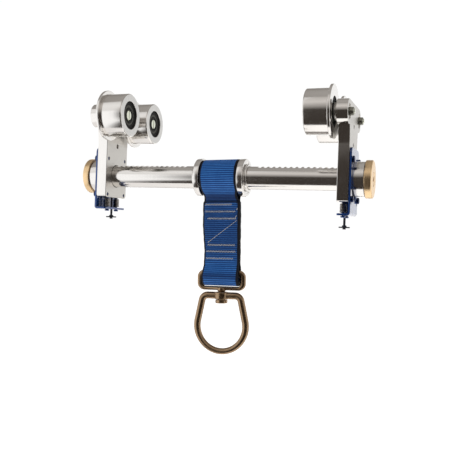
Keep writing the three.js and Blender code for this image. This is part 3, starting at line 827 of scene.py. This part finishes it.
def ring_path():
    """Middle line of the bow, from one side of its collar round to the other."""
    bar_z = (COLLAR_TOP + COLLAR_LOW) / 2
    corner = 7
    side_x = BOW_RADIUS * math.cos(SIDE_SLOPE)
    side_z = BOW_Z + BOW_RADIUS * math.sin(SIDE_SLOPE)
    corner_x = side_x - (bar_z - side_z) * math.tan(SIDE_SLOPE)
    corner_x -= corner / math.tan((math.pi / 2 + SIDE_SLOPE) / 2)
    corner_z = bar_z - corner
    slope = math.degrees(SIDE_SLOPE)
    bar = [(x, bar_z) for x in (3.8, 8, 12)]
    line = bar + arc(corner_x, corner_z, corner, 90, slope, 12)
    line += arc(0, BOW_Z, BOW_RADIUS, slope, -180 - slope, 72)
    line += arc(-corner_x, corner_z, corner, 180 - slope, 90, 12)
    line += [(-x, z) for x, z in reversed(bar)]
    return [(x, 0, z) for x, z in line]


def swivel_ring():
    path = ring_path()
    count = len(path)
    radii = [RING_ROD * (0.94 + 0.06 * math.cos(TURN * k / count)) for k in range(count)]
    bow = swept(path, radii, 24)
    r = COLLAR_RADIUS
    collar = lathe([(0, COLLAR_LOW), (r, COLLAR_LOW, 1.3), (r, COLLAR_TOP, 1.3), (0, COLLAR_TOP)],
                   0.3, 56, closed=False, steps=5)
    bore = rod(STEM_RADIUS + GAP, COLLAR_LOW - 1, COLLAR_TOP + 1, 40)
    whole = combined(bow, moved(collar, ABOUT_Z), "UNION")
    return combined(whole, moved(bore, ABOUT_Z))


def swivel_head():
    top = COLLAR_LOW - 2 * GAP
    low = top - 3.8
    bore = STEM_RADIUS + GAP
    r = half("swivel_head", 1)
    return lathe([(bore, low), (r, low, 1), (r, top, 0.5), (bore, top)], 0.3, 56, steps=4)


def sling():
    strap()
    for name, mesh in (("swivel_eye", swivel_eye()), ("swivel_ring", swivel_ring()),
                       ("swivel_head", moved(swivel_head(), ABOUT_Z))):
        piece(f"{name}_finished", mesh, SLING, name, BRONZE, sharp=50)


# ---- Carriage ----

def bracket():
    """A web round the bar that widens upward into a lobe for each wheel."""
    w = BRACKET_HALF
    foot = 4
    flare = 3
    shoulder = 34
    meet = math.acos((WHEEL_Y - w - flare) / LOBE_RADIUS)
    rise = WHEEL_Z - LOBE_RADIUS * math.sin(meet) - shoulder
    bend = (rise ** 2 + flare ** 2) / (2 * flare)
    sweep = math.degrees(math.asin(rise / bend))
    right = arc(w - foot, BRACKET_LOW + foot, foot, -90, 0, 8)
    right += arc(w + bend, shoulder, bend, 180, 180 - sweep, 12)[:-1]
    right += arc(WHEEL_Y, WHEEL_Z, LOBE_RADIUS, 180 + math.degrees(meet), 450, 54)
    outline = right + [(-y, z) for y, z in reversed(right)]
    holes = [circle(0, 0, BAR_RADIUS + GAP, 96)]
    for side in (-1, 1):
        holes.append(circle(side * WHEEL_Y, WHEEL_Z, STUD_RADIUS + GAP, 32))
        holes += [circle(side * GUIDE_SCREW_Y, z, SLOT_RADIUS, 24) for z in GUIDE_SCREW_Z]
    holes += [circle(0, z, 2.4, 28) for z in (35, 55)]
    thickness = BRACKET_OUT - BRACKET_IN
    web = plate([outline] + holes, thickness, 0.7)
    body = moved(web, at(BRACKET_IN + thickness / 2) @ ACROSS_X)
    beyond, below = BRACKET_OUT + 1, BRACKET_LOW - 1
    body = combined(body, rod(15.8, BRACKET_OUT - 6, beyond, 80))
    nut_seat = rod(8, BRACKET_OUT - 1, beyond, 48)
    pin_pocket = rod(2, below, -17.5, 24)
    for side in (-1, 1):
        body = combined(body, moved(nut_seat, at(0, side * WHEEL_Y, WHEEL_Z)))
        body = combined(body, moved(pin_pocket, at(PIN_X, side * PIN_Y) @ ABOUT_Z))
    body = combined(body, moved(rod(1.7, below, -16, 20), at(PIN_X) @ ABOUT_Z))
    return paint(body, 1, lambda face: abs(face.normal.x) < 0.9 and face.center.yz.length > 17)


def guide_bush():
    bore = BAR_RADIUS + GAP
    neck = 15.5
    shoulder = BRACKET_OUT + GAP
    r = BUSH_RADIUS
    body = lathe([(bore, BUSH_IN), (neck, BUSH_IN), (neck, shoulder, 0), (r, shoulder),
                  (r, BUSH_OUT, 0.8), (bore, BUSH_OUT)], 0.3, 112)
    slot = box_mesh(PLATE_THICKNESS + 2 * GAP, 16, r)
    place = at(PLATE_OUT - PLATE_THICKNESS / 2, 0, BAR_RADIUS - 0.2 + r / 2)
    return combined(body, moved(slot, place))


def latch_plate():
    """A flat blank with its window and slots, then folded along its lower bend."""
    bend = 3.2
    neutral = bend - PLATE_THICKNESS / 2
    bend_top = PLATE_LIP + bend
    bend_low = bend_top - neutral * math.pi / 2
    low = bend_low - (PLATE_OUT - bend - LIP_END)
    outline = filleted([(-PLATE_HALF, low, 2), (PLATE_HALF, low, 2), (PLATE_HALF, PLATE_TOP, 6),
                        (-PLATE_HALF, PLATE_TOP, 6)], 2, steps=8)
    window = BUSH_RADIUS + 0.6
    tongue = 7.5
    rise = math.degrees(math.asin(tongue / window))
    opening = arc(0, 0, window, 90 + rise, 180, 20) + arc(0, -LATCH_LIFT, window, 180, 360, 60)
    opening += arc(0, 0, window, 0, 90 - rise, 20)
    opening += [(tongue, BAR_RADIUS + GAP), (-tongue, BAR_RADIUS + GAP)]
    loops = [outline, opening]
    for y in (-GUIDE_SCREW_Y, GUIDE_SCREW_Y):
        for z in GUIDE_SCREW_Z:
            loops.append(arc(y, z, SLOT_RADIUS, 0, 180, 12)
                         + arc(y, z - LATCH_LIFT, SLOT_RADIUS, 180, 360, 12))
    hole_z = bend_low - (PLATE_OUT - bend - PIN_X)
    for y, radius in ((-PIN_Y, 1.9), (0, 1.6), (PIN_Y, 1.9)):
        loops.append(circle(y, hole_z, radius, 24))
    blank = plate(loops, PLATE_THICKNESS, 0.3)
    bm = bmesh.new()
    bm.from_mesh(blank)
    cuts = 8
    for k in range(cuts + 1):
        cut = bend_low + (bend_top - bend_low) * k / cuts
        bmesh.ops.bisect_plane(bm, geom=[*bm.verts, *bm.edges, *bm.faces], dist=1e-5,
                               plane_co=(0, cut, 0), plane_no=(0, 1, 0))
    middle = PLATE_OUT - PLATE_THICKNESS / 2
    centre_x = middle - neutral
    for vertex in bm.verts:
        y, up, out = vertex.co
        if up >= bend_top:
            vertex.co = (middle + out, y, up)
        elif up >= bend_low:
            angle = (bend_top - up) / neutral
            radius = neutral + out
            vertex.co = (centre_x + radius * math.cos(angle), y,
                         bend_top - radius * math.sin(angle))
        else:
            vertex.co = (centre_x - (bend_low - up), y, bend_top - neutral - out)
    bmesh.ops.recalc_face_normals(bm, faces=bm.faces)
    bm.to_mesh(blank)
    bm.free()
    return blank


def guide_pin():
    low, high = span("guide_pin_right_front", 2)
    top = PLATE_LIP - GAP
    head, shank = 2.7, 1.6
    return lathe([(0, low), (head, low, 1), (head, top, 0.2), (shank, top, 0.1),
                  (shank, high, 0.3), (0, high)], 0.3, 32, closed=False, steps=4)


def latch_spring():
    wire, coil = 0.7, 3
    turns, steps = 6, 22
    low, high = span("latch_spring_right_front", 2)
    low, high = low + wire, high - wire
    path = []
    for k in range(turns * steps + 1):
        share = k / (turns * steps)
        angle = TURN * turns * share
        path.append((coil * math.cos(angle), coil * math.sin(angle), low + (high - low) * share))
    return swept(path, wire, 10)


def plunger_pin():
    low, high = span("plunger_pin_right", 2)
    head, shank = 1.9, 1.3
    step = low + 1.2
    return lathe([(0, low), (head, low, 0.6), (head, step, 0.2), (shank, step, 0.1),
                  (shank, high, 0.4), (0, high)], 0.2, 28, closed=False, steps=4)


def plunger_knob():
    low, high = span("plunger_knob_right", 2)
    bore = 1.6
    r = KNOB_RADIUS
    rim = low + 1.4
    return lathe([(bore, low), (r, low, 0.6), (r, rim, 0.6), (2.6, rim, 0.4), (2.3, high, 0.3),
                  (bore, high)], 0.2, 48, steps=4)


def guide_screw():
    start, end = span("guide_screw_right_front_upper", 0)
    seat = end - 2.3
    head, shank = 3.4, 1.6
    body = lathe([(0, start), (shank, start), (shank, seat), (head, seat, 0.1), (head, end, 1.4),
                  (0, end)], 0.1, 40, closed=False, steps=4)
    return combined(body, hex_bar(1.5, end - 1.3, end + 1))


def wheel():
    bore = BEARING_RADIUS + GAP
    rim = WHEEL_OUT - WHEEL_FLANGE
    tread = TREAD_RADIUS
    relief = tread - 0.5
    mesh = lathe([(bore, WHEEL_IN, 0.5), (tread, WHEEL_IN, 1.5), (tread, rim - 0.9, 0.1),
                  (relief, rim - 0.6, 0.1), (relief, rim, 0.2), (FLANGE_RADIUS, rim, 0.6),
                  (FLANGE_RADIUS, WHEEL_OUT, 0.7), (bore, WHEEL_OUT, 0.4)], 0.3, 128, steps=5)
    return paint(mesh, 1, lambda face: abs(face.normal.x) > 0.98 and face.center.x < WHEEL_IN + 1)


def bearing():
    """Outer and inner race with a moulded shield between, grooved where it seats."""
    start, end = span("bearing_right_front", 0)
    bore = AXLE_RADIUS + GAP
    r = BEARING_RADIUS

    def shield(face, out):
        return [(r, face, 0.3), (r - 1.1, face, 0.1), (r - 1.25, face - out * 0.45, 0.1),
                (r - 2.2, face - out * 0.25), (11.6, face - out * 0.25), (11.1, face - out * 0.6),
                (8.9, face - out * 0.6), (8.6, face - out * 0.1, 0.1), (bore + 0.2, face, 0.2)]

    mesh = lathe(list(reversed(shield(start, -1))) + shield(end, 1), 0.2, 96)
    # the groove faces take the paler grey of the painted reflection
    return paint(mesh, 1, lambda face: 8.8 < face.center.yz.length < 11.3)


def axle():
    shoulder = BRACKET_IN - GAP
    body = lathe([(0, AXLE_IN), (AXLE_RADIUS, AXLE_IN, 0.9), (AXLE_RADIUS, shoulder),
                  (STUD_RADIUS, shoulder, 0.1), (STUD_RADIUS, AXLE_OUT, 0.6), (0, AXLE_OUT)],
                 0.2, 56, closed=False, steps=4)
    return combined(body, moved(box_mesh(2.2, 1.4, 3 * AXLE_RADIUS), at(AXLE_IN)))


def spacer():
    start, end = span("spacer_right_front", 0)
    bore = AXLE_RADIUS + GAP
    r = 9
    return lathe([(bore, start), (r, start), (r, end), (bore, end)], 0.3, 64)


def axle_nut():
    start, end = span("axle_nut_right_front", 0)
    r = max(half("axle_nut_right_front", 1), half("axle_nut_right_front", 2))
    cone = lathe([(0, start), (r, start, 0.4), (r, end - 0.8, 0.2), (r - 0.9, end, 0.1), (0, end)],
                 0.1, 64, closed=False)
    body = combined(hex_bar(r, start, end), cone, "INTERSECT")
    return combined(body, rod(STUD_RADIUS + GAP, start - 1, end + 1, 40))


def carriages():
    plain = [
        ("bracket", bracket(), "satin_metal", [SATIN, EDGE]),
        ("guide_bush", guide_bush(), "polished_steel", POLISHED),
        ("latch_plate", latch_plate(), "latch_blue", BLUE),
    ]
    plunger = [("plunger_pin", plunger_pin()), ("plunger_knob", plunger_knob())]
    wheel_parts = [
        ("wheel", wheel(), "polished_steel", [POLISHED, END_FACE]),
        ("bearing", bearing(), "seal", [SHIELD, PAINTED_GROOVE_REFLECTION]),
        ("axle", axle(), "zinc", ZINC),
        ("spacer", spacer(), "satin_metal", SATIN),
        ("axle_nut", axle_nut(), "dark_steel", NUT_PLATE),
    ]
    pin, spring, screw = guide_pin(), latch_spring(), guide_screw()
    for side, place in SIDES.items():
        for name, mesh, slot, materials in plain:
            piece(f"{name}_{side}_finished", mesh, place, f"{name}_{side}", materials,
                  sharp=25, weighted=name != "guide_bush")
        rise = at(PIN_X, 0, PLUNGER_RISE if side == "left" else 0) @ ABOUT_Z
        for name, mesh in plunger:
            node = f"{name}_{side}"
            piece(f"{node}_finished", mesh, place @ rise, node, BLACKED)
        turn = 1 if side == "right" else -1
        for end, across in (("front", -turn), ("rear", turn)):
            key = f"{side}_{end}"
            for name, mesh, slot, materials in wheel_parts:
                piece(f"{name}_{key}_finished", mesh, place @ at(0, across * WHEEL_Y, WHEEL_Z),
                      f"{name}_{key}", materials)
            post = place @ at(PIN_X, across * PIN_Y)
            piece(f"guide_pin_{key}_finished", pin, post @ ABOUT_Z, f"guide_pin_{key}",
                  BLUE)
            coil = piece(f"latch_spring_{key}_finished", spring, post, f"latch_spring_{key}",
                         SPRING_WIRE, sharp=60)
            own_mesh(coil)
            for height, level in zip(GUIDE_SCREW_Z, ("upper", "lower")):
                node = f"guide_screw_{key}_{level}"
                piece(f"{node}_finished", screw, place @ at(0, across * GUIDE_SCREW_Y, height),
                      node, BLUED)


# ---- Camera, floor and light ----

def aimed(obj, place, target, roll=0.0):
    obj.location = place
    obj.rotation_mode = "QUATERNION"
    facing = (Vector(target) - Vector(place)).to_track_quat("-Z", "Y")
    obj.rotation_quaternion = facing @ Matrix.Rotation(roll, 4, "Z").to_quaternion()


def camera():
    data = bpy.data.cameras.new("camera")
    data.lens = 56.66
    data.clip_start, data.clip_end = 0.05, 200
    obj = linked("camera", data)
    aimed(obj, (0.26079, -0.74657, -0.09951), (0.00476, 0, -0.0948), math.radians(2.115))
    bpy.context.scene.camera = obj


def card(name, half_width, start, end, material):
    """A rectangle across X from start to end, each a (y, z), that isn't part of the object."""
    corners = [(-half_width, *start), (half_width, *start), (half_width, *end), (-half_width, *end)]
    mesh = bpy.data.meshes.new(name)
    mesh.from_pydata(corners, [], [[0, 1, 2, 3]])
    mesh.materials.append(material)
    obj = linked(name, mesh)
    return obj


def glossy_card(name, half_width, start, end, material):
    """A card that is only seen in reflections."""
    obj = card(name, half_width, start, end, material)
    obj.visible_camera = False
    obj.visible_diffuse = False
    obj.visible_shadow = False
    obj.visible_transmission = False
    return obj


def floor_material():
    material, tree, shader = node_tree("pale_floor")
    cloud = noise(tree, 3, detail=2.0)
    feed(tree, shader, {
        "Base Color": mixed(tree, between(tree, cloud, 0, 1), (0.9, 0.9, 0.9), (0.92, 0.92, 0.92)),
        "Roughness": 0.9, "Emission Color": (1, 1, 1, 1), "Emission Strength": 0.7})
    return material


def ramp(tree, value, stops):
    """A colour that runs through stops of (value, colour)."""
    low, high = stops[0][0], stops[-1][0]
    share = add(tree, "ShaderNodeMapRange", {"Value": value, "From Min": low, "From Max": high})
    node = add(tree, "ShaderNodeValToRGB", {0: share.outputs[0]})
    elements = node.color_ramp.elements
    while len(elements) < len(stops):
        elements.new(0.5)
    for element, (where, colour) in zip(elements, stops):
        element.position = (where - low) / (high - low)
        element.color = (*colour, 1)
    return node.outputs[0]


def smooth(tree, value, start, end):
    return add(tree, "ShaderNodeMapRange", {"Value": value, "From Min": start, "From Max": end},
               interpolation_type="SMOOTHSTEP").outputs[0]


def glowing(name):
    """A material that only glows, with the sockets of the place it is looked up at."""
    material = bpy.data.materials.new(name)
    material.use_nodes = True
    tree = material.node_tree
    tree.nodes.clear()
    place = add(tree, "ShaderNodeTexCoord").outputs["Object"]
    return material, tree, add(tree, "ShaderNodeSeparateXYZ", {0: place}).outputs


def finish_glow(tree, colour, strength):
    glow = add(tree, "ShaderNodeEmission", {"Color": colour, "Strength": strength})
    add(tree, "ShaderNodeOutputMaterial", {0: glow.outputs[0]})


def front_card_material():
    """Near white on the left; on the right dark at the bottom and paler higher up."""
    material, tree, (x, _, z) = glowing("front_card")
    right = ramp(tree, z, [(0.06, (0.038, 0.031, 0.026)), (0.26, (0.28, 0.265, 0.25)),
                           (0.7, (0.62, 0.59, 0.565)), (2, (0.42, 0.4, 0.38))])
    left = ramp(tree, z, [(0.2, (1, 1, 1)), (0.35, (0.76, 0.75, 0.74)), (0.8, (0.82, 0.81, 0.8)),
                          (2, (0.66, 0.65, 0.64))])
    finish_glow(tree, mixed(tree, smooth(tree, x, -0.52, -0.33), left, right), 1.2)
    return material


def plain_card_material(name, stops, strength):
    """Glows in colours that run through stops of (x, colour)."""
    material, tree, (x, _, _) = glowing(name)
    finish_glow(tree, ramp(tree, x, stops), strength)
    return material


def floor_and_cards():
    drop = 0.35
    floor_z = cad_box[0][2] - drop
    size = 40
    card("floor", size, (-size, floor_z), (size, floor_z), floor_material())
    low = floor_z + 0.02
    wide, narrow = 4, 1.6
    front_y, near_y, back_y = -0.9, -0.19, 0.8
    front = front_card_material()
    wall = glossy_card("front_card", wide, (front_y, low), (front_y, 2), front)
    wall.visible_diffuse = True
    glossy_card("low_card", narrow, (front_y, low), (near_y, low), front)
    under = plain_card_material("under_card", [(-0.4, (0.75, 0.73, 0.72)),
                                               (0, (1, 0.98, 0.96))], 1.3)
    glossy_card("under_card", narrow, (near_y, low), (back_y, low), under)
    back = plain_card_material("back_card", [(-narrow, (0.3, 0.28, 0.26)),
                                             (narrow, (0.25, 0.23, 0.21))], 1)
    glossy_card("back_card", narrow, (back_y, low), (back_y, low + 0.2), back)


def area_light(name, place, target, size, power):
    data = bpy.data.lights.new(name, "AREA")
    data.shape = "RECTANGLE"
    data.size, data.size_y = size
    data.energy = power
    obj = linked(name, data)
    aimed(obj, place, target)
    obj.visible_glossy = False


def studio_light():
    world = bpy.data.worlds.new("studio")
    bpy.context.scene.world = world
    world.use_nodes = True
    tree = world.node_tree
    direction = add(tree, "ShaderNodeTexCoord").outputs["Generated"]
    up = add(tree, "ShaderNodeSeparateXYZ", {0: direction}).outputs[2]
    colour = ramp(tree, up, [(0.32, (1, 1, 1)), (0.4, (0.85, 0.84, 0.83)),
                             (0.62, (0.24, 0.22, 0.2)), (1, (0.42, 0.4, 0.38))])
    feed(tree, tree.nodes["Background"], {"Color": colour, "Strength": 1.02})
    middle = (0, 0, -0.08)
    area_light("key_softbox", (-0.95, -0.8, 0.75), middle, (1.2, 1.2), 14)
    area_light("rim_softbox", (0.9, 0.7, 0.6), middle, (0.5, 0.7), 7)


camera()
bar_and_spool()
sling()
carriages()
floor_and_cards()
studio_light()
bpy.context.scene.view_settings.view_transform = "Standard"
